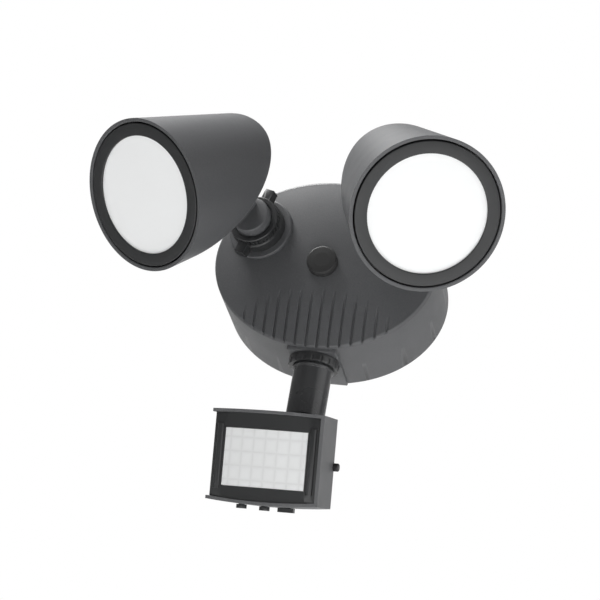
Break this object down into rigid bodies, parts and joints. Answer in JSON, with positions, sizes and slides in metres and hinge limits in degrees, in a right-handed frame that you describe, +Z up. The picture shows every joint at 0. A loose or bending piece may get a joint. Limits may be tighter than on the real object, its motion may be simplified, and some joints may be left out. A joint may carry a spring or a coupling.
{
  "type": "motion sensor security light",
  "caption": "Wall-mounted outdoor security light: an oval canopy carries aimable conical LED lamp heads on swivel arms and a tilting motion sensor on a stem.",
  "frame": {"origin": "middle of the canopy's wall-side rim, on the wall plane, where the mounting strap lies on the junction box", "axes": "+X to the right seen from in front, -Y away from the wall, +Z up"},
  "size_m": [0.2803, 0.2347, 0.2504],
  "materials": {
    "charcoal_paint": "satin fine-texture powder coat",
    "bezel_paint": "satin powder coat",
    "charcoal_gloss": "glossy",
    "charcoal_plastic": "satin",
    "black_plastic": "semi-gloss",
    "black_rubber": "matte",
    "black_foam": "matte closed-cell foam",
    "zinc_steel": "bright zinc plate",
    "black_steel": "black zinc plate",
    "green_screw": "green dyed zinc plate",
    "driver_case": "matte",
    "white_lens": "frosted translucent white",
    "white_reflector": "white",
    "circuit_board": "green solder mask",
    "circuit_board_white": "white solder mask",
    "led_phosphor": "yellow phosphor",
    "light_cell": "glossy",
    "relay_case": "glossy",
    "capacitor_sleeve": "shrink sleeve"
  },
  "bodies": {
    "canopy": {"canopy": "charcoal_paint", "canopy_gasket": "black_foam", "mounting_strap": "zinc_steel", "centre_screw_seal": "black_rubber", "centre_screw": "zinc_steel", "centre_plug": "black_rubber", "ground_screw": "green_screw", "led_driver": "driver_case", "driver_screws": "zinc_steel"},
    "sensor_stem": {"sensor_stem": "charcoal_gloss", "sensor_inner_nut": "zinc_steel"},
    "sensor_lock_nut": {"sensor_lock_nut": "black_plastic"},
    "sensor": {"sensor_housing": "charcoal_plastic", "sensor_front_frame": "black_plastic", "sensor_lens": "white_lens", "sensor_board": "circuit_board", "pyro_sensor": "zinc_steel", "light_cell": "light_cell", "relay": "relay_case", "capacitor": "capacitor_sleeve", "clamp_bolt": "black_steel", "clamp_nut": "black_steel"},
    "time_knob": {"time_knob": "black_plastic"},
    "range_knob": {"range_knob": "black_plastic"},
    "mode_switch": {"mode_switch": "black_plastic"},
    "left_arm": {"left_arm": "charcoal_paint", "left_arm_nut": "zinc_steel"},
    "left_lock_ring": {"left_lock_ring": "black_plastic"},
    "left_head": {"left_head_shell": "charcoal_paint", "left_bezel": "bezel_paint", "left_lens": "white_lens", "left_lens_gasket": "black_rubber", "left_reflector": "white_reflector", "left_led_board": "circuit_board_white", "left_leds": "led_phosphor", "left_tilt_screw": "black_steel", "left_tilt_nut": "black_steel"},
    "right_arm": {"right_arm": "charcoal_paint", "right_arm_nut": "zinc_steel"},
    "right_lock_ring": {"right_lock_ring": "black_plastic"},
    "right_head": {"right_head_shell": "charcoal_paint", "right_bezel": "bezel_paint", "right_lens": "white_lens", "right_lens_gasket": "black_rubber", "right_reflector": "white_reflector", "right_led_board": "circuit_board_white", "right_leds": "led_phosphor", "right_tilt_screw": "black_steel", "right_tilt_nut": "black_steel"}
  },
  "joints": [
    {"name": "left_arm_swivel", "type": "hinge", "parent": "canopy", "child": "left_arm", "pos_m": [-0.0485, -0.0614, 0.0203], "axis": [-0.1616, -0.9869, 0], "range_deg": [-150, 150]},
    {"name": "left_head_tilt", "type": "hinge", "parent": "left_arm", "child": "left_head", "pos_m": [-0.06078, -0.1364, 0.0203], "axis": [0.8453, -0.1384, -0.5161], "range_deg": [-60, 55]},
    {"name": "left_lock_ring_turn", "type": "hinge", "parent": "canopy", "child": "left_lock_ring", "pos_m": [-0.0485, -0.0614, 0.0203], "axis": [-0.1616, -0.9869, 0], "range_deg": [-20, 90]},
    {"name": "right_arm_swivel", "type": "hinge", "parent": "canopy", "child": "right_arm", "pos_m": [0.0485, -0.0614, 0.0203], "axis": [0.1616, -0.9869, 0], "range_deg": [-150, 150]},
    {"name": "right_head_tilt", "type": "hinge", "parent": "right_arm", "child": "right_head", "pos_m": [0.06078, -0.1364, 0.0203], "axis": [0.8966, 0.1468, 0.4179], "range_deg": [-60, 55]},
    {"name": "right_lock_ring_turn", "type": "hinge", "parent": "canopy", "child": "right_lock_ring", "pos_m": [0.0485, -0.0614, 0.0203], "axis": [0.1616, -0.9869, 0], "range_deg": [-20, 90]},
    {"name": "sensor_swivel", "type": "hinge", "parent": "canopy", "child": "sensor_stem", "pos_m": [0, -0.042, -0.072], "axis": [0, 0, 1], "range_deg": [-40, 60]},
    {"name": "sensor_lock_nut_turn", "type": "hinge", "parent": "canopy", "child": "sensor_lock_nut", "pos_m": [0, -0.042, -0.069], "axis": [0, 0, 1], "range_deg": [-90, 90]},
    {"name": "sensor_tilt", "type": "hinge", "parent": "sensor_stem", "child": "sensor", "pos_m": [0, -0.042, -0.144], "axis": [0.9978, -0.0663, 0], "range_deg": [-17.4, 20]},
    {"name": "time_knob_turn", "type": "hinge", "parent": "sensor", "child": "time_knob", "pos_m": [-0.03159, -0.04942, -0.17689], "axis": [-0.0198, -0.2984, 0.9542], "range_deg": [-135, 135]},
    {"name": "range_knob_turn", "type": "hinge", "parent": "sensor", "child": "range_knob", "pos_m": [-0.01532, -0.0505, -0.17689], "axis": [-0.0198, -0.2984, 0.9542], "range_deg": [-135, 135]},
    {"name": "mode_switch_slide", "type": "slide", "parent": "sensor", "child": "mode_switch", "axis": [0.9978, -0.0663, 0], "range_m": [0, 0.004]}
  ]
}
